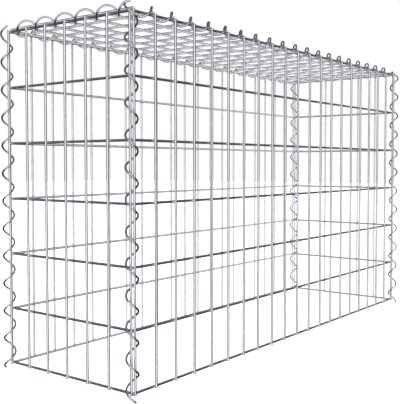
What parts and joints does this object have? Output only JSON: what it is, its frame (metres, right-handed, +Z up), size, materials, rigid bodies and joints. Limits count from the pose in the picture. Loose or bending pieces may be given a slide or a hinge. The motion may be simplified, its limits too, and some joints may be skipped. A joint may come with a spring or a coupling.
{
  "type": "gabion basket",
  "caption": "Empty gabion wall basket of welded galvanised mesh, open below, its corners and lid laced with spiral wires.",
  "frame": {"origin": "middle of the footprint, at the level of the corner spirals' cut lower ends", "axes": "+X along the wall, to the right as seen from the front; +Y from the front panel to the back one; +Z up"},
  "size_m": [1.0334, 0.33, 0.6278],
  "materials": {
    "mesh_wire": "bright zinc coating, satin",
    "spiral_wire": "zinc coating, slightly darker, satin"
  },
  "bodies": {
    "root": {"front_panel": "mesh_wire", "back_panel": "mesh_wire", "left_end_panel": "mesh_wire", "right_end_panel": "mesh_wire", "lid_panel": "mesh_wire", "front_left_spiral": "spiral_wire", "front_right_spiral": "spiral_wire", "back_left_spiral": "spiral_wire", "back_right_spiral": "spiral_wire", "lid_front_spiral": "spiral_wire", "lid_back_spiral": "spiral_wire", "lid_left_spiral": "spiral_wire", "lid_right_spiral": "spiral_wire"}
  },
  "joints": []
}
